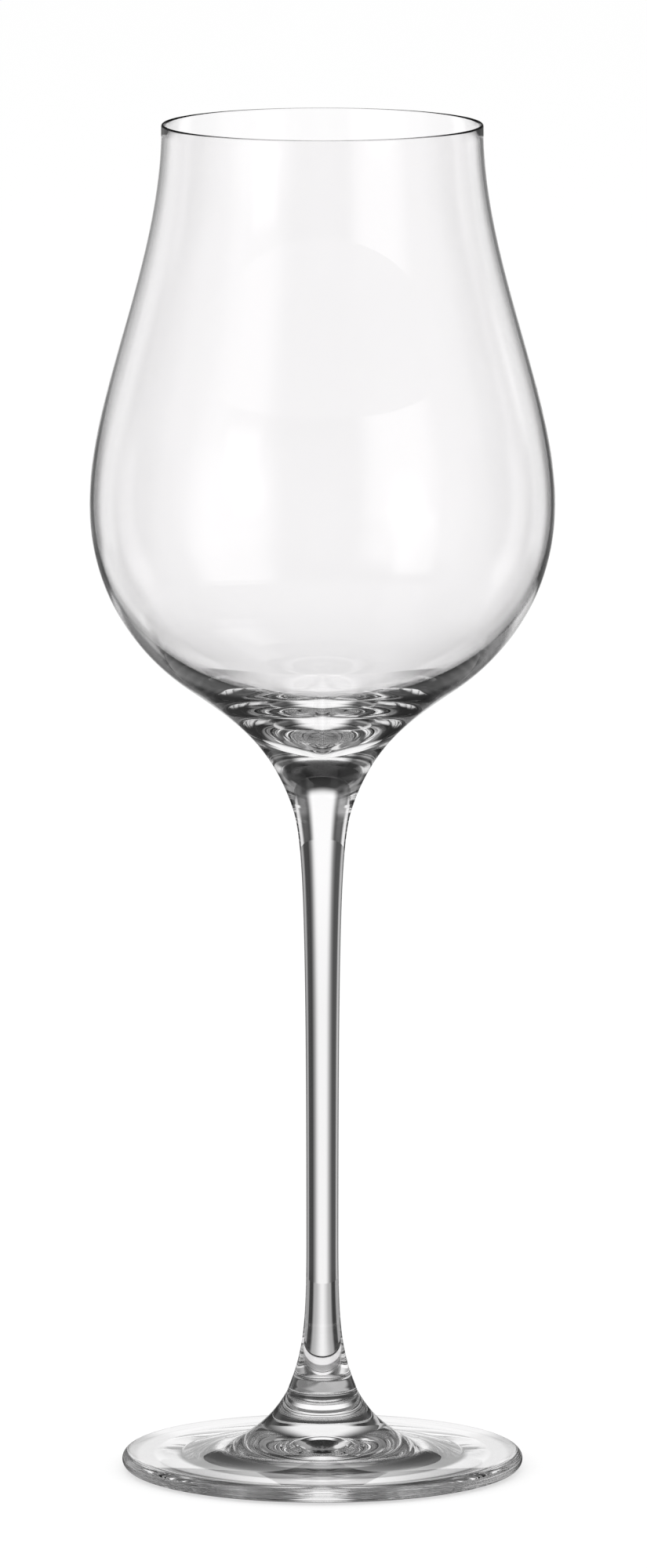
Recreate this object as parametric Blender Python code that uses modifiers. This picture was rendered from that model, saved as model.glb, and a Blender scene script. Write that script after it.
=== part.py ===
"""A stemmed wine glass: a thin blown bowl, a drawn stem and a pressed foot, fused end to end.

Metres, +Z up. The glass stands on Z = 0, and Z is its axis. Each piece is a turned profile with its own
origin on the axis: the foot's on the table, the stem's and the bowl's on the weld under each of them.
"""

import math

import bpy
from mathutils import Vector
from mathutils.geometry import interpolate_bezier, intersect_line_line

# Foot: a round-edged disc that sweeps up into a hub
FOOT_RADIUS = 0.0356
FOOT_EDGE = 0.0030  # thickness of the disc
FLAT_WIDTH = 0.0095  # level ring of the top, between the hub's flare and the round edge
HUB_HEIGHT = 0.0142  # table to the stem's weld
HUB_ROUND = 0.0004  # rounded corner of the hub beside the weld
HUB_LEAN = math.radians(28)
REST_WIDTH = 0.0088  # flat ring that the glass stands on
HOLLOW_RISE = 0.0050  # height of the dome under the foot
HOLLOW_POWER = 1.45  # 1 makes the dome a cone, 2 makes it round on top

# Weld between foot and stem: both pieces end in a flat face of this radius
FOOT_WELD_RADIUS = 0.0058

# Stem: a slim rod that flares at both ends
STEM_LENGTH = 0.1053
STEM_RADIUS = 0.00286
STEM_WAIST_HEIGHT = 0.0264  # slimmest place, above the foot's weld
STEM_ROUND = 0.0002  # rounded corner of the stem beside the weld
STEM_BASE_LEAN = math.radians(22)

# Weld between stem and bowl: the outline runs through it without a break
BOWL_WELD_RADIUS = 0.00565
BOWL_WELD_LEAN = math.radians(20)

# Bowl: heights are above the stem's weld
BOWL_HEIGHT = 0.1205
RIM_RADIUS = 0.0284
BELLY_RADIUS = 0.0411
BELLY_HEIGHT = 0.0534
SHOULDER_RADIUS = 0.0238  # where the belly's curve turns into the flare to the stem
SHOULDER_HEIGHT = 0.0205
SHOULDER_LEAN = math.radians(55.7)
LIP_THICKNESS = 0.0007
BELLY_WALL = 0.0007
SHOULDER_WALL = 0.00215
SWELL_LEAN = math.radians(4.6)  # how much flatter the inside lies than the outside at the shoulder
WELL_DEPTH = 0.0111  # inside bottom below the inside of the shoulder

# How far each handle of a curve reaches, as a share of its span
CHIMNEY_PULL = 0.36
BELLY_UP_PULL = 0.29
BELLY_DOWN_PULL = 0.86
SHOULDER_UP_PULL = 0.39
SHOULDER_DOWN_PULL = 0.60
BOWL_WELD_UP_PULL = 0.95
BOWL_WELD_DOWN_PULL = 0.70
STEM_UP_PULL = 0.95
STEM_DOWN_PULL = 0.79
STEM_BASE_PULL = 0.85
WELL_PULL = 0.73
WELL_FLAT_PULL = 0.45
HUB_PULL = 0.75
FLARE_PULL = 0.55

# Facets: steps round the axis, and points along each stretch of a profile
ROUND_STEPS = 60
STEM_STEPS = 32
CURVE_POINTS = 10
TAPER_POINTS = 14
EDGE_POINTS = 9
LIP_POINTS = 5
CORNER_POINTS = 4
HOLLOW_STEPS = 10
MERGE = 0.00001

UPRIGHT = 0.0
LEVEL = math.radians(90)

GLASS_COLOUR = (0.95, 0.97, 0.96, 1.0)
GLASS_ROUGHNESS = 0.02
GLASS_IOR = 1.52


def spot(radius, height):
    """A point of a profile, which lies in the XZ plane."""
    return Vector((radius, 0.0, height))


def down(lean):
    """A step down a profile. A positive lean takes it away from the axis, a negative one towards it."""
    return Vector((math.sin(lean), 0.0, -math.cos(lean)))


def bend(start, start_lean, start_pull, end, end_lean, end_pull, points):
    """A curve between two leans, whose handles reach towards the corner where the two directions cross."""
    corner = intersect_line_line(start, start + down(start_lean), end, end + down(end_lean))[0]
    start_handle = start.lerp(corner, start_pull)
    end_handle = end.lerp(corner, end_pull)
    return interpolate_bezier(start, start_handle, end_handle, end, points)


def swell(start, start_pull, end, end_pull, points):
    """A curve that is upright at both ends, as between the lip and the belly."""
    span = (start.z - end.z) * down(UPRIGHT)
    return interpolate_bezier(start, start + start_pull * span, end - end_pull * span, end, points)


def corner_round(centre, radius, first, last, points):
    """A round edge from one angle to another, where 0 points away from the axis and a right angle up."""
    angles = [first + (last - first) * i / (points - 1) for i in range(points)]
    return [centre + radius * spot(math.cos(a), math.sin(a)) for a in angles]


def joined(*stretches):
    """One profile from stretches that each start where the one before ended."""
    profile = list(stretches[0])
    for stretch in stretches[1:]:
        profile.extend(stretch[1:])
    return profile


def hollow_dome(radius):
    """The underside from the standing ring in to the axis."""
    shares = [1 - i / HOLLOW_STEPS for i in range(HOLLOW_STEPS + 1)]
    return [spot(radius * share, HOLLOW_RISE * (1 - share**HOLLOW_POWER)) for share in shares]


def foot_profile():
    edge_radius = FOOT_EDGE / 2
    edge_centre = spot(FOOT_RADIUS - edge_radius, edge_radius)
    hub_centre = spot(FOOT_WELD_RADIUS, HUB_HEIGHT - HUB_ROUND)
    hub_corner = corner_round(hub_centre, HUB_ROUND, LEVEL, 0.0, CORNER_POINTS)
    flare_end = spot(edge_centre.x - FLAT_WIDTH, FOOT_EDGE)
    flare = bend(hub_corner[-1], HUB_LEAN, HUB_PULL, flare_end, LEVEL, FLARE_PULL, TAPER_POINTS)
    edge = corner_round(edge_centre, edge_radius, LEVEL, -LEVEL, EDGE_POINTS)
    hollow = hollow_dome(edge_centre.x - REST_WIDTH)
    weld = [spot(0.0, HUB_HEIGHT), hub_corner[0]]
    return joined(weld, hub_corner, flare, [flare_end, edge[0]], edge, [edge[-1], hollow[0]], hollow)


def stem_profile():
    top = spot(BOWL_WELD_RADIUS, STEM_LENGTH)
    waist = spot(STEM_RADIUS, STEM_WAIST_HEIGHT)
    base_centre = spot(FOOT_WELD_RADIUS, STEM_ROUND)
    base_corner = corner_round(base_centre, STEM_ROUND, 0.0, -LEVEL, CORNER_POINTS)
    base = base_corner[0]
    taper = bend(top, -BOWL_WELD_LEAN, BOWL_WELD_DOWN_PULL, waist, UPRIGHT, STEM_UP_PULL, TAPER_POINTS)
    flare = bend(waist, UPRIGHT, STEM_DOWN_PULL, base, STEM_BASE_LEAN, STEM_BASE_PULL, CURVE_POINTS)
    top_face = [spot(0.0, STEM_LENGTH), top]
    base_face = [base_corner[-1], spot(0.0, 0.0)]
    return joined(top_face, taper, flare, base_corner, base_face)


def bowl_outside():
    """The outer wall, from the lip down to the weld."""
    rim = spot(RIM_RADIUS, BOWL_HEIGHT - LIP_THICKNESS / 2)
    belly = spot(BELLY_RADIUS, BELLY_HEIGHT)
    shoulder = spot(SHOULDER_RADIUS, SHOULDER_HEIGHT)
    weld = spot(BOWL_WELD_RADIUS, 0.0)
    lean = -SHOULDER_LEAN
    chimney = swell(rim, CHIMNEY_PULL, belly, BELLY_UP_PULL, CURVE_POINTS)
    side = bend(belly, UPRIGHT, BELLY_DOWN_PULL, shoulder, lean, SHOULDER_UP_PULL, CURVE_POINTS)
    flare = bend(shoulder, lean, SHOULDER_DOWN_PULL, weld, -BOWL_WELD_LEAN, BOWL_WELD_UP_PULL, CURVE_POINTS)
    return joined(chimney, side, flare)


def bowl_inside():
    """The inner wall, from the lip down to the well, which leaves a solid bottom over the weld."""
    rim = spot(RIM_RADIUS - LIP_THICKNESS, BOWL_HEIGHT - LIP_THICKNESS / 2)
    belly = spot(BELLY_RADIUS - BELLY_WALL, BELLY_HEIGHT)
    across = spot(math.cos(SHOULDER_LEAN), -math.sin(SHOULDER_LEAN))
    shoulder = spot(SHOULDER_RADIUS, SHOULDER_HEIGHT) - SHOULDER_WALL * across
    well = spot(0.0, shoulder.z - WELL_DEPTH)
    lean = -(SHOULDER_LEAN + SWELL_LEAN)
    chimney = swell(rim, CHIMNEY_PULL, belly, BELLY_UP_PULL, CURVE_POINTS)
    side = bend(belly, UPRIGHT, BELLY_DOWN_PULL, shoulder, lean, SHOULDER_UP_PULL, CURVE_POINTS)
    bottom = bend(shoulder, lean, WELL_PULL, well, -LEVEL, WELL_FLAT_PULL, CURVE_POINTS)
    return joined(chimney, side, bottom)


def bowl_profile():
    inside = bowl_inside()
    outside = bowl_outside()
    lip_centre = (inside[0] + outside[0]) / 2
    lip = corner_round(lip_centre, LIP_THICKNESS / 2, 2 * LEVEL, 0.0, LIP_POINTS)
    return joined(inside[::-1], lip, outside, [outside[-1], spot(0.0, 0.0)])


def clear_glass(name):
    material = bpy.data.materials.new(name)
    material.use_nodes = True
    shader = material.node_tree.nodes["Principled BSDF"]
    shader.inputs["Base Color"].default_value = GLASS_COLOUR
    shader.inputs["Roughness"].default_value = GLASS_ROUGHNESS
    shader.inputs["Metallic"].default_value = 0.0
    shader.inputs["Transmission Weight"].default_value = 1.0
    shader.inputs["IOR"].default_value = GLASS_IOR
    material.diffuse_color = GLASS_COLOUR
    return material


def turned(name, profile, steps, height, parent, collection):
    """A piece turned about Z from its profile, standing at a height on the axis."""
    mesh = bpy.data.meshes.new(name)
    mesh.from_pydata(profile, [(i, i + 1) for i in range(len(profile) - 1)], [])
    mesh.materials.append(clear_glass(name + "_glass"))
    piece = bpy.data.objects.new(name, mesh)
    piece.location = (0.0, 0.0, height)
    piece.parent = parent
    collection.objects.link(piece)
    screw = piece.modifiers.new("turn", "SCREW")
    screw.axis = "Z"
    screw.angle = 2 * math.pi
    screw.steps = steps
    screw.render_steps = steps
    screw.use_merge_vertices = True
    screw.merge_threshold = MERGE
    screw.use_smooth_shade = True
    return piece


def clear_scene():
    for old in list(bpy.data.objects):
        bpy.data.objects.remove(old, do_unlink=True)


def main():
    clear_scene()
    collection = bpy.data.collections.new("wine_glass")
    bpy.context.scene.collection.children.link(collection)
    glass = bpy.data.objects.new("wine_glass", None)
    collection.objects.link(glass)
    turned("foot", foot_profile(), ROUND_STEPS, 0.0, glass, collection)
    turned("stem", stem_profile(), STEM_STEPS, HUB_HEIGHT, glass, collection)
    turned("bowl", bowl_profile(), ROUND_STEPS, HUB_HEIGHT + STEM_LENGTH, glass, collection)


main()
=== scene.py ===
# %% [markdown]
# # A stemmed wine glass
#
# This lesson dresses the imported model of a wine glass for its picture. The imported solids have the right
# shape and place, but their facets would break up every refraction, so each piece is turned again here
# from the same profile, with many more steps. Clear glass has no colour of its own to show: what one sees
# is the room, bent. So half of the lesson makes the glass, and the other half makes the room round it.

# %% Load the frame
import math
from collections import namedtuple
from functools import lru_cache

import bmesh
import bpy
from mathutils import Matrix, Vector
from mathutils.geometry import interpolate_bezier, intersect_line_line


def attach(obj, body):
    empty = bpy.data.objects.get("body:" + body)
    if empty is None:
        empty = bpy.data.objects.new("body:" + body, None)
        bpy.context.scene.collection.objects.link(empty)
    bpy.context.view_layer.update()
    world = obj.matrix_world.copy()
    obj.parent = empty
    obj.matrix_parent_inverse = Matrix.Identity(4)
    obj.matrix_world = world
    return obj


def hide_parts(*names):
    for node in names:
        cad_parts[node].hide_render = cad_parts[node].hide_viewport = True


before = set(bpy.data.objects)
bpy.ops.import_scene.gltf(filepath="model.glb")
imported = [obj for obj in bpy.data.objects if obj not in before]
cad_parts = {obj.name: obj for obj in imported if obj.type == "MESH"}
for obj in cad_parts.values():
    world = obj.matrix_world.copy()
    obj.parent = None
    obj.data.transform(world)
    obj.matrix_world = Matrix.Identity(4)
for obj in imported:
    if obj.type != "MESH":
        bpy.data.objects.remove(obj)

scene = bpy.context.scene
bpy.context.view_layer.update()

# %% [markdown]
# ## Camera
#
# The glass was seen from well back, through a long lens, from about twice its own height. The ellipses of
# the mouth and of the foot give the angle: the foot is seen from slightly higher up than the mouth, and the
# difference gives the distance. The lens is given for an upright sensor, because the picture is tall, so its
# height stays the same at any width.

# %% Camera
CAMERA_PLACE = (0.0002, -2.6876, 0.5176)
CAMERA_DIP = math.radians(8.3584)
SENSOR_HEIGHT = 36.0
LENS = 352.56
NEAREST = 0.05
FURTHEST = 500.0


def add_camera():
    lens = bpy.data.cameras.new("camera")
    lens.sensor_fit = "VERTICAL"
    lens.sensor_height = SENSOR_HEIGHT
    lens.lens = LENS
    lens.clip_start = NEAREST
    lens.clip_end = FURTHEST
    camera = bpy.data.objects.new("camera", lens)
    camera.location = CAMERA_PLACE
    camera.rotation_euler = (math.radians(90) - CAMERA_DIP, 0.0, 0.0)
    scene.collection.objects.link(camera)
    scene.camera = camera
    return camera


print("camera:", round(add_camera().location.length, 3), "m from the foot, lens", LENS, "mm")

# %% [markdown]
# ## Points and directions
#
# A turned piece is drawn as half of its section, in the plane where Y is 0: X is the distance from the axis
# and Z is the height. It could be drawn by hand in Edit Mode. Here it is written down instead, because the
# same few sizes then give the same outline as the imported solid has.

# %% Points and directions
UPRIGHT = 0.0
LEVEL = math.radians(90)


def spot(radius, height):
    """A point of a profile."""
    return Vector((radius, 0.0, height))


def down(lean):
    """A step down a profile. A positive lean takes it away from the axis, a negative one towards it."""
    return Vector((math.sin(lean), 0.0, -math.cos(lean)))


print("a step down that leans out by 30 degrees:", [round(n, 3) for n in down(math.radians(30))])

# %% [markdown]
# ## Fair curves
#
# A glassmaker's profile is a run of fair curves, without bumps or kinks. Many measured points would follow
# the outline too, but each small error would show as a ripple in the glass. So each stretch is one Bezier
# segment between two points whose directions are known, and its handles reach towards the corner where
# those directions cross. Forty points on each are enough for a smooth refraction.

# %% A bend between two directions
CURVE_POINTS = 40


def bend(start, start_lean, start_pull, end, end_lean, end_pull):
    corner = intersect_line_line(start, start + down(start_lean), end, end + down(end_lean))[0]
    start_handle = start.lerp(corner, start_pull)
    end_handle = end.lerp(corner, end_pull)
    return interpolate_bezier(start, start_handle, end_handle, end, CURVE_POINTS)


print("bend:", CURVE_POINTS, "points, handles towards the corner of its two directions")

# %% A swell that is upright at both ends
def swell(start, start_pull, end, end_pull):
    span = (start.z - end.z) * down(UPRIGHT)
    return interpolate_bezier(start, start + start_pull * span, end - end_pull * span, end, CURVE_POINTS)


print("swell:", CURVE_POINTS, "points, handles straight down and straight up")

# %% Rounded corners, and stretches joined to one profile
ROUND_POINTS = 12


def corner_round(centre, radius, first, last, points=ROUND_POINTS):
    """A round edge from one angle to another, where 0 points away from the axis and a right angle up."""
    angles = [first + (last - first) * i / (points - 1) for i in range(points)]
    return [centre + radius * spot(math.cos(a), math.sin(a)) for a in angles]


def joined(*stretches):
    """One profile from stretches that each start where the one before ended."""
    profile = list(stretches[0])
    for stretch in stretches[1:]:
        profile.extend(stretch[1:])
    return profile


print("corners:", ROUND_POINTS, "points each")

# %% [markdown]
# ## What hot work leaves in clear glass
#
# Clear glass is never quite even. A bowl that turns in its mould while it is blown keeps faint level rings,
# a stem that is pulled out of a hot gather keeps faint lines along its length, and a pressed foot is a
# little uneven all over. It shows as a slight wobble in the reflections, a breath of haze and a hint of
# tint. All three come from one stretched noise on Object coordinates, so they are one node group, which
# every finish places with its own values. A painted image would do it too, but it would need UV maps.

# %% Melt marks: the sockets of the group
def melt_sockets(group):
    sockets = group.interface
    sockets.new_socket("Marks per Metre", in_out="INPUT", socket_type="NodeSocketVector")
    sockets.new_socket("Haze", in_out="INPUT", socket_type="NodeSocketFloat")
    sockets.new_socket("Tint", in_out="OUTPUT", socket_type="NodeSocketColor")
    sockets.new_socket("Roughness", in_out="OUTPUT", socket_type="NodeSocketFloat")
    sockets.new_socket("Ripple", in_out="OUTPUT", socket_type="NodeSocketFloat")


MELT_MARKS = bpy.data.node_groups.new("melt_marks", "ShaderNodeTree")
melt_sockets(MELT_MARKS)
print("melt marks:", ", ".join(item.name for item in MELT_MARKS.interface.items_tree))

# %% Melt marks: the nodes inside
PALE_TINT = (0.9990, 0.9940, 0.9972, 1.0)
DEEP_TINT = (0.9980, 0.9910, 0.9958, 1.0)
HAZE_FROM = 0.50
HAZE_FULL = 0.75
MARK_DETAIL = 2.0


def melt_nodes(group):
    nodes, links = group.nodes, group.links
    given = nodes.new("NodeGroupInput")
    made = nodes.new("NodeGroupOutput")
    place = nodes.new("ShaderNodeTexCoord")
    stretch = nodes.new("ShaderNodeVectorMath")
    stretch.operation = "MULTIPLY"
    marks = nodes.new("ShaderNodeTexNoise")
    marks.inputs["Scale"].default_value = 1.0
    marks.inputs["Detail"].default_value = MARK_DETAIL
    tint = nodes.new("ShaderNodeValToRGB")
    tint.color_ramp.elements[0].color = PALE_TINT
    tint.color_ramp.elements[1].color = DEEP_TINT
    haze = nodes.new("ShaderNodeMapRange")
    haze.inputs["From Min"].default_value = HAZE_FROM
    haze.inputs["From Max"].default_value = HAZE_FULL
    links.new(place.outputs["Object"], stretch.inputs[0])
    links.new(given.outputs["Marks per Metre"], stretch.inputs[1])
    links.new(stretch.outputs["Vector"], marks.inputs["Vector"])
    links.new(marks.outputs["Fac"], tint.inputs["Fac"])
    links.new(marks.outputs["Fac"], haze.inputs["Value"])
    links.new(given.outputs["Haze"], haze.inputs["To Max"])
    links.new(tint.outputs["Color"], made.inputs["Tint"])
    links.new(haze.outputs["Result"], made.inputs["Roughness"])
    links.new(marks.outputs["Fac"], made.inputs["Ripple"])


melt_nodes(MELT_MARKS)
print("melt marks:", len(MELT_MARKS.nodes), "nodes")

# %% [markdown]
# ## The three glass finishes
#
# Glass for drinking has an index of about 1.5, lets nearly all light through and is polished by the flame.
# The Principled shader does that with full transmission. A Glass shader would do as well, but the
# Principled one is what other programs understand. Metallic, transmission and index are the same all over,
# so they are set on the shader itself. Ripples of a few thousandths of a millimetre are enough: glass shows
# a slope of a thousandth.

# %% A glass finish
GLASS_INDEX = 1.52


def glass_finish(name, marks_per_metre, ripple_height, haze):
    material = bpy.data.materials.new(name)
    material.use_nodes = True
    nodes, links = material.node_tree.nodes, material.node_tree.links
    shader = nodes["Principled BSDF"]
    shader.inputs["Metallic"].default_value = 0.0
    shader.inputs["Transmission Weight"].default_value = 1.0
    shader.inputs["IOR"].default_value = GLASS_INDEX
    marks = nodes.new("ShaderNodeGroup")
    marks.node_tree = MELT_MARKS
    marks.inputs["Marks per Metre"].default_value = marks_per_metre
    marks.inputs["Haze"].default_value = haze
    bump = nodes.new("ShaderNodeBump")
    bump.inputs["Strength"].default_value = 1.0
    bump.inputs["Distance"].default_value = ripple_height
    links.new(marks.outputs["Tint"], shader.inputs["Base Color"])
    links.new(marks.outputs["Roughness"], shader.inputs["Roughness"])
    links.new(marks.outputs["Ripple"], bump.inputs["Height"])
    links.new(bump.outputs["Normal"], shader.inputs["Normal"])
    return material


print("glass: index", GLASS_INDEX)

# %% The finishes of bowl, stem and foot
HAZE = 0.02
LEVEL_RINGS = (20.0, 20.0, 140.0)
LONG_LINES = (450.0, 450.0, 20.0)
EVEN_UNREST = (160.0, 160.0, 160.0)

BLOWN_GLASS = glass_finish("blown_glass", LEVEL_RINGS, ripple_height=0.000006, haze=HAZE)
DRAWN_GLASS = glass_finish("drawn_glass", LONG_LINES, ripple_height=0.0000015, haze=HAZE)
PRESSED_GLASS = glass_finish("pressed_glass", EVEN_UNREST, ripple_height=0.000004, haze=HAZE)
print("finishes:", BLOWN_GLASS.name, DRAWN_GLASS.name, PRESSED_GLASS.name)

# %% [markdown]
# ## Where two pieces are fused
#
# Bowl, stem and foot are made apart and fused hot, and no surface is left at a weld: light goes straight on
# from one piece into the next. The pieces stay separate here, each closed by a flat cap, so that each can be
# reused. A cap's glass has an index of 1, which neither bends nor reflects. Two caps in exactly one place
# would catch rays between them and show black, so the stem stops a few thousandths of a millimetre short.

# %% Fused faces
FUSE_GAP = 0.000004
WHITE = (1.0, 1.0, 1.0, 1.0)


def fused_glass():
    material = bpy.data.materials.new("fused_glass")
    material.use_nodes = True
    shader = material.node_tree.nodes["Principled BSDF"]
    shader.inputs["Base Color"].default_value = WHITE
    shader.inputs["Roughness"].default_value = 0.0
    shader.inputs["Metallic"].default_value = 0.0
    shader.inputs["Transmission Weight"].default_value = 1.0
    shader.inputs["IOR"].default_value = 1.0
    return material


FUSED_GLASS = fused_glass()
print("welds:", FUSED_GLASS.name, "with a gap of", FUSE_GAP * 1e6, "thousandths of a millimetre")

# %% [markdown]
# ## Turning a profile
#
# Blown, drawn and pressed glass is round because it turns while it is hot. A Screw modifier would turn a
# profile too. Here bmesh's spin does it, because the faces of the welds have to be found afterwards and
# given their own finish. Spin leaves one point per step on the axis, so these are merged, and the normals
# are recalculated only after that, when the piece is one closed skin.

# %% Spin a profile once round the axis
SPIN_STEPS = 192
MERGE_DISTANCE = 0.000002


def spun(bm, profile, steps):
    points = [bm.verts.new(point) for point in profile]
    edges = [bm.edges.new(pair) for pair in zip(points, points[1:])]
    bmesh.ops.spin(bm, geom=points + edges, cent=(0, 0, 0), axis=(0, 0, 1), angle=2 * math.pi, steps=steps,
                   use_merge=True)


def closed_skin(bm):
    bmesh.ops.remove_doubles(bm, verts=bm.verts, dist=MERGE_DISTANCE)
    bmesh.ops.recalc_face_normals(bm, faces=bm.faces)


print("spin:", SPIN_STEPS, "steps of", 360 / SPIN_STEPS, "degrees")

# %% Give the weld's faces the second finish
WELD_REACH = 2 * FUSE_GAP
FUSED_SLOT = 1


def mark_welds(bm, weld_heights):
    for face in bm.faces:
        face.smooth = True
        height = face.calc_center_median().z
        if any(abs(height - weld) < WELD_REACH for weld in weld_heights):
            face.material_index = FUSED_SLOT
    for edge in bm.edges:
        if len({face.material_index for face in edge.link_faces}) > 1:
            edge.smooth = False
    return sum(face.material_index == FUSED_SLOT for face in bm.faces)


print("welds: faces at a weld's height take slot", FUSED_SLOT, "and their border is a sharp edge")

# %% A turned piece, riding on the frame
def turned(name, profile, base, weld_heights, finish, node):
    bm = bmesh.new()
    spun(bm, profile, SPIN_STEPS)
    closed_skin(bm)
    bmesh.ops.translate(bm, verts=bm.verts, vec=(0.0, 0.0, base))
    weld_faces = mark_welds(bm, weld_heights)
    mesh = bpy.data.meshes.new(name)
    bm.to_mesh(mesh)
    bm.free()
    mesh.materials.append(finish)
    mesh.materials.append(FUSED_GLASS)
    piece = bpy.data.objects.new(name, mesh)
    scene.collection.objects.link(piece)
    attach(piece, "root")
    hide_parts(node)
    print(name + ":", len(mesh.polygons), "faces,", weld_faces, "of them in a weld")


print("turned: one skin of faces for each piece, in place of its CAD node")

# %% [markdown]
# ## Foot
#
# The foot is a gather of glass pressed flat. Its edge is melted to a full round, its top sweeps up into a
# hub that meets the stem, and its underside is a dome, so that the glass stands on a ring and doesn't rock.
# A disc with a bevel would have the outline, but not the dome, and the dome is what draws the dark middle
# and the bright ring that one sees in a foot. The dome lies between a cone and a round bowl.

# %% The dome under the foot
HOLLOW_RISE = 0.0050
HOLLOW_POWER = 1.45
HOLLOW_STEPS = 40


def hollow_dome(radius):
    """The underside from the standing ring in to the axis."""
    shares = [1 - i / HOLLOW_STEPS for i in range(HOLLOW_STEPS + 1)]
    return [spot(radius * share, HOLLOW_RISE * (1 - share**HOLLOW_POWER)) for share in shares]


print("dome:", HOLLOW_RISE * 1000, "mm high")

# %% The foot's profile
FOOT_RADIUS = 0.0356
FOOT_EDGE = 0.0030  # thickness of the disc
EDGE_POINTS = 24
FLAT_WIDTH = 0.0095  # level ring of the top, between the hub's flare and the round edge
REST_WIDTH = 0.0088  # flat ring that the glass stands on
FOOT_WELD_RADIUS = 0.0058
HUB_HEIGHT = 0.0142  # table to the stem's weld
HUB_ROUND = 0.0004  # rounded corner of the hub beside the weld
HUB_LEAN = math.radians(28)
HUB_PULL = 0.75
FLARE_PULL = 0.55


def foot_profile():
    edge_radius = FOOT_EDGE / 2
    edge_centre = spot(FOOT_RADIUS - edge_radius, edge_radius)
    hub_centre = spot(FOOT_WELD_RADIUS, HUB_HEIGHT - HUB_ROUND)
    hub_corner = corner_round(hub_centre, HUB_ROUND, LEVEL, 0.0)
    flare_end = spot(edge_centre.x - FLAT_WIDTH, FOOT_EDGE)
    flare = bend(hub_corner[-1], HUB_LEAN, HUB_PULL, flare_end, LEVEL, FLARE_PULL)
    edge = corner_round(edge_centre, edge_radius, LEVEL, -LEVEL, EDGE_POINTS)
    hollow = hollow_dome(edge_centre.x - REST_WIDTH)
    weld = [spot(0.0, HUB_HEIGHT), hub_corner[0]]
    return joined(weld, hub_corner, flare, [flare_end, edge[0]], edge, [edge[-1], hollow[0]], hollow)


turned("pressed_foot", foot_profile(), 0.0, (HUB_HEIGHT,), PRESSED_GLASS, "foot")

# %% [markdown]
# ## Stem
#
# The stem is drawn out of the hot glass like toffee, so it is slimmest a little above the foot and swells
# evenly towards the bowl. A straight rod with two cones would show its joints as breaks in the reflections.
# Two bends that meet upright at the waist have none. At the foot the stem ends in a small rounded corner,
# where the weld shows as a thin dark ring. At the bowl the outline runs through the weld without a break.

# %% The stem's profile
STEM_LENGTH = 0.1053
STEM_RADIUS = 0.00286
STEM_WAIST_HEIGHT = 0.0264  # slimmest place, above the foot's weld
STEM_ROUND = 0.0002  # rounded corner of the stem beside the weld
STEM_BASE_LEAN = math.radians(22)
BOWL_WELD_RADIUS = 0.00565
BOWL_WELD_LEAN = math.radians(20)
BOWL_WELD_DOWN_PULL = 0.70
STEM_UP_PULL = 0.95
STEM_DOWN_PULL = 0.79
STEM_BASE_PULL = 0.85


def stem_profile():
    top = spot(BOWL_WELD_RADIUS, STEM_LENGTH - FUSE_GAP)
    waist = spot(STEM_RADIUS, STEM_WAIST_HEIGHT)
    base_centre = spot(FOOT_WELD_RADIUS, STEM_ROUND + FUSE_GAP)
    base_corner = corner_round(base_centre, STEM_ROUND, 0.0, -LEVEL)
    base = base_corner[0]
    taper = bend(top, -BOWL_WELD_LEAN, BOWL_WELD_DOWN_PULL, waist, UPRIGHT, STEM_UP_PULL)
    flare = bend(waist, UPRIGHT, STEM_DOWN_PULL, base, STEM_BASE_LEAN, STEM_BASE_PULL)
    top_face = [spot(0.0, STEM_LENGTH - FUSE_GAP), top]
    base_face = [base_corner[-1], spot(0.0, FUSE_GAP)]
    return joined(top_face, taper, flare, base_corner, base_face)


BOWL_BASE = HUB_HEIGHT + STEM_LENGTH
turned("drawn_stem", stem_profile(), HUB_HEIGHT, (HUB_HEIGHT, BOWL_BASE), DRAWN_GLASS, "stem")

# %% [markdown]
# ## Bowl
#
# The bowl is a tulip: it swells from the stem to a wide belly and draws in to a narrow mouth. It has two
# skins. The outer one is what a hand feels. The inner one stays a thin wall away from it down to the
# shoulder, then leaves it and ends in a shallow well, so that a solid lens of glass lies over the stem. A
# Solidify modifier would give one even thickness and lose that lens, so both skins are drawn.

# %% The outside of the bowl
BOWL_HEIGHT = 0.1205
LIP_THICKNESS = 0.0007
RIM_RADIUS = 0.0284
BELLY_RADIUS = 0.0411
BELLY_HEIGHT = 0.0534
SHOULDER_RADIUS = 0.0238  # where the belly's curve turns into the flare to the stem
SHOULDER_HEIGHT = 0.0205
SHOULDER_LEAN = math.radians(55.7)
CHIMNEY_PULL = 0.36
BELLY_UP_PULL = 0.29
BELLY_DOWN_PULL = 0.86
SHOULDER_UP_PULL = 0.39
SHOULDER_DOWN_PULL = 0.60
BOWL_WELD_UP_PULL = 0.95


def bowl_outside():
    """The outer wall, from the lip down to the weld."""
    rim = spot(RIM_RADIUS, BOWL_HEIGHT - LIP_THICKNESS / 2)
    belly = spot(BELLY_RADIUS, BELLY_HEIGHT)
    shoulder = spot(SHOULDER_RADIUS, SHOULDER_HEIGHT)
    weld = spot(BOWL_WELD_RADIUS, 0.0)
    lean = -SHOULDER_LEAN
    chimney = swell(rim, CHIMNEY_PULL, belly, BELLY_UP_PULL)
    side = bend(belly, UPRIGHT, BELLY_DOWN_PULL, shoulder, lean, SHOULDER_UP_PULL)
    flare = bend(shoulder, lean, SHOULDER_DOWN_PULL, weld, -BOWL_WELD_LEAN, BOWL_WELD_UP_PULL)
    return joined(chimney, side, flare)


print("bowl outside:", len(bowl_outside()), "points, belly", BELLY_RADIUS * 2000, "mm across")

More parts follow.
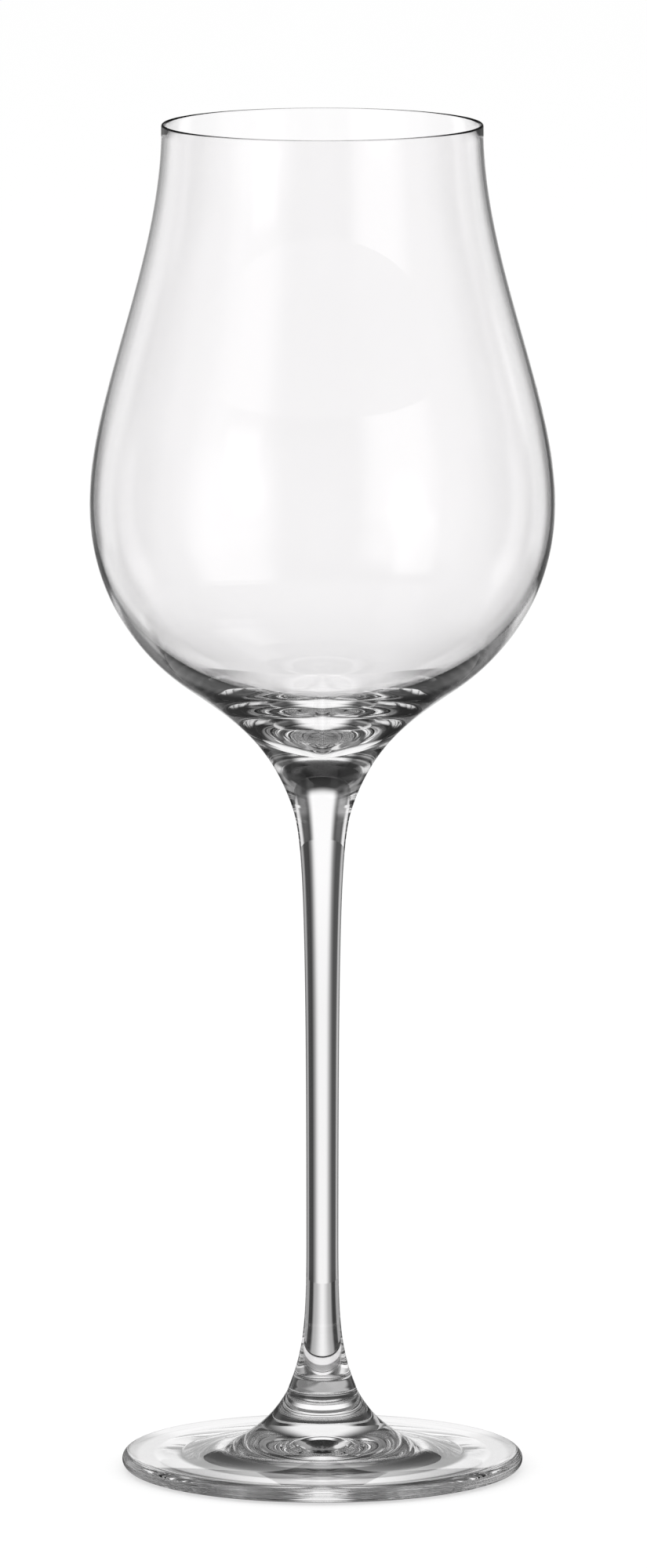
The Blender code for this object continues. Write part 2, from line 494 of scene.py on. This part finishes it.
# %% The inside of the bowl
BELLY_WALL = 0.0007
SHOULDER_WALL = 0.00215
SWELL_LEAN = math.radians(4.6)  # how much flatter the inside lies than the outside at the shoulder
WELL_DEPTH = 0.0111  # inside bottom below the inside of the shoulder
WELL_PULL = 0.73
WELL_FLAT_PULL = 0.45


def bowl_inside():
    """The inner wall, from the lip down to the well, which leaves a solid bottom over the weld."""
    rim = spot(RIM_RADIUS - LIP_THICKNESS, BOWL_HEIGHT - LIP_THICKNESS / 2)
    belly = spot(BELLY_RADIUS - BELLY_WALL, BELLY_HEIGHT)
    across = spot(math.cos(SHOULDER_LEAN), -math.sin(SHOULDER_LEAN))
    shoulder = spot(SHOULDER_RADIUS, SHOULDER_HEIGHT) - SHOULDER_WALL * across
    well = spot(0.0, shoulder.z - WELL_DEPTH)
    lean = -(SHOULDER_LEAN + SWELL_LEAN)
    chimney = swell(rim, CHIMNEY_PULL, belly, BELLY_UP_PULL)
    side = bend(belly, UPRIGHT, BELLY_DOWN_PULL, shoulder, lean, SHOULDER_UP_PULL)
    bottom = bend(shoulder, lean, WELL_PULL, well, -LEVEL, WELL_FLAT_PULL)
    return joined(chimney, side, bottom)


print("bowl inside:", len(bowl_inside()), "points, solid bottom", round(bowl_inside()[-1].z * 1000, 1), "mm")

# %% [markdown]
# ## Lip
#
# A cracked-off rim is cut sharp and then melted in a flame until it draws itself round. Half a circle as
# thick as the wall does that. It joins the two skins, and the profile ends on the flat face of the weld.

# %% The bowl, with its melted lip
def bowl_profile():
    inside = bowl_inside()
    outside = bowl_outside()
    lip_centre = (inside[0] + outside[0]) / 2
    lip = corner_round(lip_centre, LIP_THICKNESS / 2, 2 * LEVEL, 0.0)
    return joined(inside[::-1], lip, outside, [outside[-1], spot(0.0, 0.0)])


turned("blown_bowl", bowl_profile(), BOWL_BASE, (BOWL_BASE,), BLOWN_GLASS, "bowl")

# %% [markdown]
# ## A white room
#
# The glass stands alone before a background that is white everywhere. A curved paper sweep would do it, but
# a plain white world does the same with nothing to light.

# %% World
def white_room():
    world = bpy.data.worlds.new("white_room")
    world.use_nodes = True
    background = world.node_tree.nodes["Background"]
    background.inputs["Color"].default_value = WHITE
    background.inputs["Strength"].default_value = 1.0
    scene.world = world
    return world


print("world:", white_room().name)

# %% [markdown]
# ## Floor
#
# The table is pale and has no visible edge. A floor that is only lit comes out a little grey, and a line
# shows where it meets the background. So the camera, reflections and refractions see it partly as white by
# itself, through Light Path, and partly as lit, which keeps the shadow of the foot. It lies a hair below the
# standing ring, so that the two faces don't flicker into each other.

# %% Which rays see the floor's own white
def larger_of(nodes, links, first, second):
    larger = nodes.new("ShaderNodeMath")
    larger.operation = "MAXIMUM"
    links.new(first, larger.inputs[0])
    links.new(second, larger.inputs[1])
    return larger.outputs[0]


def seen_white(nodes, links):
    """1 for rays of the camera, of reflections and of refractions, and 0 for those that light the room."""
    path = nodes.new("ShaderNodeLightPath")
    seen = larger_of(nodes, links, path.outputs["Is Camera Ray"], path.outputs["Is Glossy Ray"])
    return larger_of(nodes, links, seen, path.outputs["Is Transmission Ray"])


print("floor: seen as white by camera, glossy and transmission rays")

# %% The floor's finish
FLOOR_COLOUR = (0.97, 0.97, 0.97, 1.0)
FLOOR_ROUGHNESS = 0.9
FLOOR_WHITE = 0.6


def pale_floor():
    material = bpy.data.materials.new("pale_floor")
    material.use_nodes = True
    material.cycles.emission_sampling = "NONE"
    nodes, links = material.node_tree.nodes, material.node_tree.links
    lit = nodes["Principled BSDF"]
    lit.inputs["Base Color"].default_value = FLOOR_COLOUR
    lit.inputs["Roughness"].default_value = FLOOR_ROUGHNESS
    lit.inputs["Specular IOR Level"].default_value = 0.0
    white = nodes.new("ShaderNodeEmission")
    share = nodes.new("ShaderNodeMath")
    share.operation = "MULTIPLY"
    share.inputs[1].default_value = FLOOR_WHITE
    mix = nodes.new("ShaderNodeMixShader")
    links.new(seen_white(nodes, links), share.inputs[0])
    links.new(share.outputs[0], mix.inputs["Fac"])
    links.new(lit.outputs["BSDF"], mix.inputs[1])
    links.new(white.outputs["Emission"], mix.inputs[2])
    links.new(mix.outputs["Shader"], nodes["Material Output"].inputs["Surface"])
    return material


print("floor finish:", FLOOR_WHITE, "of it white by itself")

# %% The floor
FLOOR_SIZE = 300.0
FLOOR_GAP = 0.0003


def add_floor():
    bm = bmesh.new()
    bmesh.ops.create_grid(bm, x_segments=1, y_segments=1, size=FLOOR_SIZE)
    bmesh.ops.translate(bm, verts=bm.verts, vec=(0, 0, -FLOOR_GAP))
    mesh = bpy.data.meshes.new("floor")
    bm.to_mesh(mesh)
    bm.free()
    mesh.materials.append(pale_floor())
    floor = bpy.data.objects.new("floor", mesh)
    scene.collection.objects.link(floor)


add_floor()
print("floor:", FLOOR_GAP * 1000, "mm below the standing ring")

# %% [markdown]
# ## Cards round the glass
#
# A glass before plain white is nearly invisible. A photographer of glassware puts a white panel behind it
# and black cards, called flags, beside the panel. Bent by the glass, the flags draw the dark lines along its
# edges, and a softbox at the left draws the bright streak. Real panels and lamps could be built, but the
# soft borders that make glass look smooth take many of them. Here cloths stand round the glass and the cards
# are painted on them. Each card has an angle, seen from above with 0 straight behind the glass and 90 at the
# right, half its width and the width of its soft border in degrees, the places along the cloth where it
# starts and ends, in metres, with the length of its fade, and a glow.

# %% Cards with soft borders
Card = namedtuple("Card", "what angle half soft low high fade glow")
ALL_ROUND = 400  # wider than a full turn
FROM_END = -9  # below and beyond any cloth
TO_END = 9


def soft_step(value, start, end):
    share = min(max((value - start) / (end - start), 0.0), 1.0)
    return share * share * (3 - 2 * share)


@lru_cache(maxsize=None)
def across_card(card, angle):
    turn = abs((angle - card.angle + 180) % 360 - 180)
    return 1 - soft_step(turn, card.half - card.soft / 2, card.half + card.soft / 2)


@lru_cache(maxsize=None)
def along_card(card, place):
    start = soft_step(place, card.low - card.fade / 2, card.low + card.fade / 2)
    return start * (1 - soft_step(place, card.high - card.fade / 2, card.high + card.fade / 2))


print("cards:", ", ".join(Card._fields))

# %% [markdown]
# ## Seen straight through the wall
#
# The wall of the bowl is thin. A ray that crosses it four times, in and out on the near side and in and out
# on the far side, goes on nearly as if there were no glass, so from any side it should find the same white
# that is seen beside the glass. The panel stands on one side only. So the cloth carries a second level, and
# Light Path picks it for rays of just those four crossings. All other rays see the painted cards.

# %% Pick the rays that went straight through
WALL_CROSSINGS = 4.0
HALF_COUNT = 0.5


def is_crossings(nodes, links, count):
    same = nodes.new("ShaderNodeMath")
    same.operation = "COMPARE"
    same.inputs[1].default_value = WALL_CROSSINGS
    same.inputs[2].default_value = HALF_COUNT
    links.new(count, same.inputs[0])
    return same.outputs[0]


def straight_through(nodes, links):
    path = nodes.new("ShaderNodeLightPath")
    both = nodes.new("ShaderNodeMath")
    both.operation = "MULTIPLY"
    links.new(is_crossings(nodes, links, path.outputs["Ray Depth"]), both.inputs[0])
    links.new(is_crossings(nodes, links, path.outputs["Transmission Depth"]), both.inputs[1])
    return both.outputs[0]


print("straight through:", WALL_CROSSINGS, "crossings and no reflection")

# %% The cloth that the cards are painted on
GLOW_LAYER = "glow"
THROUGH_LAYER = "through"


def card_cloth():
    material = bpy.data.materials.new("card_cloth")
    material.use_nodes = True
    material.cycles.emission_sampling = "NONE"
    nodes, links = material.node_tree.nodes, material.node_tree.links
    nodes.remove(nodes["Principled BSDF"])
    painted = nodes.new("ShaderNodeAttribute")
    painted.attribute_name = GLOW_LAYER
    behind = nodes.new("ShaderNodeAttribute")
    behind.attribute_name = THROUGH_LAYER
    level = nodes.new("ShaderNodeMix")
    glow = nodes.new("ShaderNodeEmission")
    links.new(straight_through(nodes, links), level.inputs["Factor"])
    links.new(painted.outputs["Fac"], level.inputs["A"])
    links.new(behind.outputs["Fac"], level.inputs["B"])
    links.new(level.outputs["Result"], glow.inputs["Strength"])
    links.new(glow.outputs["Emission"], nodes["Material Output"].inputs["Surface"])
    return material


CARD_CLOTH = card_cloth()
print("cloth:", CARD_CLOTH.name, "with its glow painted on its points")

# %% Paint a cloth
ANGLE_DIGITS = 2  # rounded, so that points in one row or column share their cached cover
PLACE_DIGITS = 5


def laid_over(level, card, angle, place):
    return level + (card.glow - level) * across_card(card, angle) * along_card(card, place)


def paint(bm, base, cards, through, place_of):
    glow_layer = bm.verts.layers.float[GLOW_LAYER]
    through_layer = bm.verts.layers.float[THROUGH_LAYER]
    for vert in bm.verts:
        angle = round(math.degrees(math.atan2(vert.co.x, vert.co.y)), ANGLE_DIGITS)
        place = round(place_of(vert.co), PLACE_DIGITS)
        level = base
        for card in cards:
            level = laid_over(level, card, angle, place)
        vert[glow_layer] = level
        vert[through_layer] = laid_over(level, through, angle, place)


print("paint: later cards lie over earlier ones")

# %% Hang a painted cloth round the glass
CLOTH_STEPS = 180


def even_line(start, end, steps):
    return [start.lerp(end, i / steps) for i in range(steps + 1)]


def hang_cloth(name, outline, base, cards, through, place_of):
    bm = bmesh.new()
    for layer in (GLOW_LAYER, THROUGH_LAYER):
        bm.verts.layers.float.new(layer)
    spun(bm, outline, CLOTH_STEPS)
    paint(bm, base, cards, through, place_of)
    mesh = bpy.data.meshes.new(name)
    bm.to_mesh(mesh)
    bm.free()
    mesh.materials.append(CARD_CLOTH)
    cloth = bpy.data.objects.new(name, mesh)
    cloth.visible_camera = False
    cloth.visible_shadow = False
    cloth.visible_diffuse = False
    scene.collection.objects.link(cloth)
    print(name + ":", len(cards), "cards on", len(mesh.vertices), "points")


print("cloth: seen by reflections and refractions only")

# %% [markdown]
# ## Drum
#
# The drum is the room as the bowl sees it: the white panel behind with a flag on each side of it, a paler
# strip beyond each flag, dark side walls, a dark ceiling, a softbox at the left in front and a small window
# at the right in front. Where one card follows another up the cloth, the lower one runs on underneath,
# because two borders that fade at the same place would leave a dark dip between them.

# %% Cards of the drum
DRUM_BASE = 0.10
DRUM_CARDS = (
    Card("right wall", 105, 52, 30, FROM_END, TO_END, 1, 0.30),
    Card("left wall", -92, 28, 16, FROM_END, TO_END, 1, 0.26),
    Card("dark foot of the front", 180, 62, 20, FROM_END, 0.06, 0.08, 0.03),
    Card("dark foot of the back", 0, 60, 20, FROM_END, 0.085, 0.03, 0.01),
    Card("dark side at the right", 77, 16, 12, 0.08, 0.40, 0.06, 0.02),
    Card("dark side at the left", -77, 16, 12, 0.08, 0.40, 0.06, 0.02),
    Card("right flag", 30, 8, 8, FROM_END, TO_END, 1, 0.03),
    Card("left flag", -30, 8, 8, FROM_END, TO_END, 1, 0.04),
    Card("right flag, higher up", 30, 7, 8, 0.10, TO_END, 0.06, 0.10),
    Card("left flag, higher up", -30, 7, 8, 0.10, TO_END, 0.06, 0.14),
    Card("right flag, at the bowl", 33, 11, 8, 0.18, 0.25, 0.04, 0.22),
    Card("left flag, at the bowl", -33, 11, 8, 0.18, 0.25, 0.04, 0.40),
    Card("right strip", 51, 9, 12, FROM_END, 0.28, 0.04, 0.40),
    Card("left strip", -52, 9, 12, FROM_END, 0.28, 0.04, 0.40),
    Card("right strip, higher up", 51, 8, 10, 0.09, 0.28, 0.04, 0.90),
    Card("left strip, higher up", -52, 8, 10, 0.09, 0.28, 0.04, 1.00),
    Card("white panel", 0, 12, 9, FROM_END, TO_END, 1, 0.97),
    Card("white panel, higher up", 0, 16, 11, 0.075, TO_END, 0.08, 1.06),
    Card("dark over the panel", 0, 28, 10, 0.25, TO_END, 0.04, 0.04),
    Card("dark ceiling", 0, ALL_ROUND, 1, 0.33, TO_END, 0.10, 0.02),
    Card("softbox", -136, 17, 20, FROM_END, 0.42, 0.10, 0.85),
    Card("softbox, brighter half", -136, 17, 20, FROM_END, 0.25, 0.06, 1.10),
    Card("low light at the right", 135, 10, 6, 0.03, 0.17, 0.03, 0.80),
    Card("low light behind", -45, 11, 6, FROM_END, 0.10, 0.02, 0.80),
    Card("window", 140, 8, 10, 0.14, 0.21, 0.09, 1.15),
)
print("drum:", ", ".join(card.what for card in DRUM_CARDS))

# %% The drum
DRUM_RADIUS = 0.30
DRUM_HEIGHT = 0.60
DRUM_ROWS = 60
LID_HEIGHT = 0.75
LID_HOLE = 0.001
LID_ROWS = 6
THROUGH = Card("white behind the bowl", 180, 143, 8, FROM_END, TO_END, 1, 1.05)

drum_wall = even_line(spot(DRUM_RADIUS, 0.0), spot(DRUM_RADIUS, DRUM_HEIGHT), DRUM_ROWS)
drum_lid = even_line(spot(DRUM_RADIUS, DRUM_HEIGHT), spot(LID_HOLE, LID_HEIGHT), LID_ROWS)
hang_cloth("drum", joined(drum_wall, drum_lid), DRUM_BASE, DRUM_CARDS, THROUGH, lambda co: co.z)

# %% [markdown]
# ## Collar
#
# The stem is a solid rod, which works as a strong lens: it shows the whole room in a few millimetres, left
# and right swapped. The cards that suit the bowl come out too thin in it. So the stem has its own ring of
# cloth, close by, with the same panel, flags and softbox in widths that suit a rod.

# %% Cards of the collar
COLLAR_BASE = 0.22
COLLAR_CARDS = (
    Card("softbox", -134, 12, 10, FROM_END, TO_END, 1, 0.85),
    Card("right flag", 33, 10, 8, FROM_END, TO_END, 1, 0.04),
    Card("left flag", -33, 10, 8, FROM_END, TO_END, 1, 0.07),
    Card("white panel", 0, 14, 15, FROM_END, TO_END, 1, 0.97),
    Card("white panel, higher up", 0, 14, 14, 0.09, TO_END, 0.04, 1.06),
    Card("right strip", 53, 7, 8, FROM_END, TO_END, 0.01, 0.40),
    Card("left strip", -53, 8, 8, FROM_END, TO_END, 0.01, 0.55),
    Card("left wall", -90, 11, 8, FROM_END, TO_END, 0.01, 0.35),
    Card("light at the right", 135, 12, 8, FROM_END, TO_END, 0.01, 0.40),
)
print("collar:", ", ".join(card.what for card in COLLAR_CARDS))

# %% The collar
COLLAR_RADIUS = 0.065
COLLAR_LOW = 0.02
COLLAR_HIGH = 0.112
COLLAR_ROWS = 24
THROUGH_LOW = Card("white behind the bowl", 180, 158, 8, FROM_END, TO_END, 1, 1.05)

collar_wall = even_line(spot(COLLAR_RADIUS, COLLAR_LOW), spot(COLLAR_RADIUS, COLLAR_HIGH), COLLAR_ROWS)
hang_cloth("collar", collar_wall, COLLAR_BASE, COLLAR_CARDS, THROUGH_LOW, lambda co: co.z)

# %% [markdown]
# ## Mat
#
# What shows in the foot is mostly the table under it and behind it. A real foot gathers the light into
# bright and dark rings on the table, and its edge and hub throw soft shadows. A renderer finds such gathered
# light only with a great many samples. So these rings are painted on a thin mat, as painted light and
# painted shadow, which only reflections and refractions see. The table round the foot is painted in shade
# there too, darker than the pale floor, most of all in front. On the mat, a card's place is its distance
# from the axis, from the hub out to the drum.

# %% Cards of the mat
# The base level shows the table round the foot in painted shade, darker than the pale floor.
MAT_BASE = 0.42
MAT_CARDS = (
    # Painted shade on the table in front of the foot: dark close to it, lighter further out.
    Card("painted shade on the table in front", 180, 75, 40, 0.042, TO_END, 0.02, 0.04),
    Card("lighter painted shade on the table in front", 180, 75, 40, 0.145, TO_END, 0.03, 0.25),
    Card("low light at the right", 135, 12, 8, 0.06, TO_END, 0.01, 0.40),
    Card("right strip", 52, 10, 8, 0.045, TO_END, 0.004, 0.35),
    Card("left strip", -52, 10, 8, 0.045, TO_END, 0.004, 0.40),
    Card("right flag", 32, 9, 8, 0.042, TO_END, 0.004, 0.03),
    Card("left flag", -32, 9, 8, 0.042, TO_END, 0.004, 0.04),
    Card("white table behind", 0, 9, 18, 0.042, TO_END, 0.002, 0.95),
    Card("low light behind", -45, 11, 6, 0.25, TO_END, 0.02, 0.95),
    Card("shadow round the edge", 0, ALL_ROUND, 1, 0.0358, 0.042, 0.0006, 0.0),
    Card("wider shadow in front", 180, 150, 20, 0.042, 0.047, 0.002, 0.02),
    Card("under the edge", 0, ALL_ROUND, 1, 0.030, 0.0358, 0.001, 0.30),
    Card("bright edge behind", 0, 62, 16, 0.030, 0.0358, 0.001, 0.92),
    Card("bright edge at the right", 90, 30, 16, 0.030, 0.033, 0.001, 0.62),
    Card("bright edge at the left", -90, 30, 16, 0.030, 0.033, 0.001, 0.62),
    Card("dark edge in front", 180, 60, 20, 0.030, 0.0358, 0.0006, 0.02),
    Card("bright ring", 0, ALL_ROUND, 1, 0.0256, 0.030, 0.001, 0.92),
    Card("ring in shade behind", 0, 60, 20, 0.0256, 0.030, 0.001, 0.25),
    Card("dark under the dome", 0, ALL_ROUND, 1, 0.0095, 0.0256, 0.001, 0.04),
    Card("paler under the dome in front", 180, 50, 30, 0.021, 0.0256, 0.002, 0.40),
    Card("under the hub", 0, ALL_ROUND, 1, FROM_END, 0.0095, 0.001, 0.20),
    Card("hub's light behind", 0, 25, 20, FROM_END, 0.009, 0.001, 0.45),
    Card("hub's light behind at the left", -45, 30, 20, FROM_END, 0.009, 0.001, 0.50),
    Card("hub's light in front", 180, 45, 20, FROM_END, 0.012, 0.001, 0.40),
)
print("mat:", ", ".join(card.what for card in MAT_CARDS))

# %% The mat
MAT_HEIGHT = -0.0001
MAT_HOLE = 0.0004
FINE_RADIUS = 0.048  # rings lie close together under and beside the foot
FINE_ROWS = 96
WIDE_ROWS = 24
THROUGH_MAT = Card("white behind the bowl", 180, 158, 8, 0.08, TO_END, 0.04, 1.05)

fine_rings = even_line(spot(MAT_HOLE, MAT_HEIGHT), spot(FINE_RADIUS, MAT_HEIGHT), FINE_ROWS)
wide_rings = even_line(spot(FINE_RADIUS, MAT_HEIGHT), spot(DRUM_RADIUS, MAT_HEIGHT), WIDE_ROWS)
hang_cloth("mat", joined(fine_rings, wide_rings), MAT_BASE, MAT_CARDS, THROUGH_MAT, lambda co: co.xy.length)

# %% [markdown]
# ## Lamps
#
# Two soft lamps light the table: a wide one overhead and a smaller one at the left in front, where the
# softbox is. Their faces would show in the glass as hard white squares, so reflections and refractions leave
# them out and see the painted softbox instead.

# %% Lamps
Lamp = namedtuple("Lamp", "name place target width height power")
LAMPS = (
    Lamp("overhead", (0.0, 0.0, 1.6), (0.0, 0.0, 0.0), 1.4, 1.4, 6.0),
    Lamp("left", (-0.75, -1.15, 0.55), (0.0, 0.0, 0.15), 0.35, 0.7, 2.0),
)


def add_lamp(lamp):
    light = bpy.data.lights.new(lamp.name, "AREA")
    light.shape = "RECTANGLE"
    light.size = lamp.width
    light.size_y = lamp.height
    light.energy = lamp.power
    stand = bpy.data.objects.new(lamp.name, light)
    stand.location = lamp.place
    aim = Vector(lamp.target) - Vector(lamp.place)
    stand.rotation_euler = aim.to_track_quat("-Z", "Y").to_euler()
    stand.visible_glossy = False
    stand.visible_transmission = False
    scene.collection.objects.link(stand)
    print("lamp", lamp.name + ":", lamp.power, "W")


for lamp in LAMPS:
    add_lamp(lamp)

# %% [markdown]
# ## Colours and bounces
#
# The Standard view shows a colour as it is written. In the thick shoulder of the bowl light runs along the
# wall by total reflection, dozens of times, before it comes out. Blender's usual limit of 12 bounces ends
# it there and leaves black, so the limit goes up. Few rays need it, so it costs little time.

# %% View and bounces
BOUNCES = 96
CLEAR_BOUNCES = 16

scene.view_settings.view_transform = "Standard"
scene.cycles.max_bounces = BOUNCES
scene.cycles.glossy_bounces = BOUNCES
scene.cycles.transmission_bounces = BOUNCES
scene.cycles.transparent_max_bounces = CLEAR_BOUNCES
print("view:", scene.view_settings.view_transform, "with", BOUNCES, "bounces")
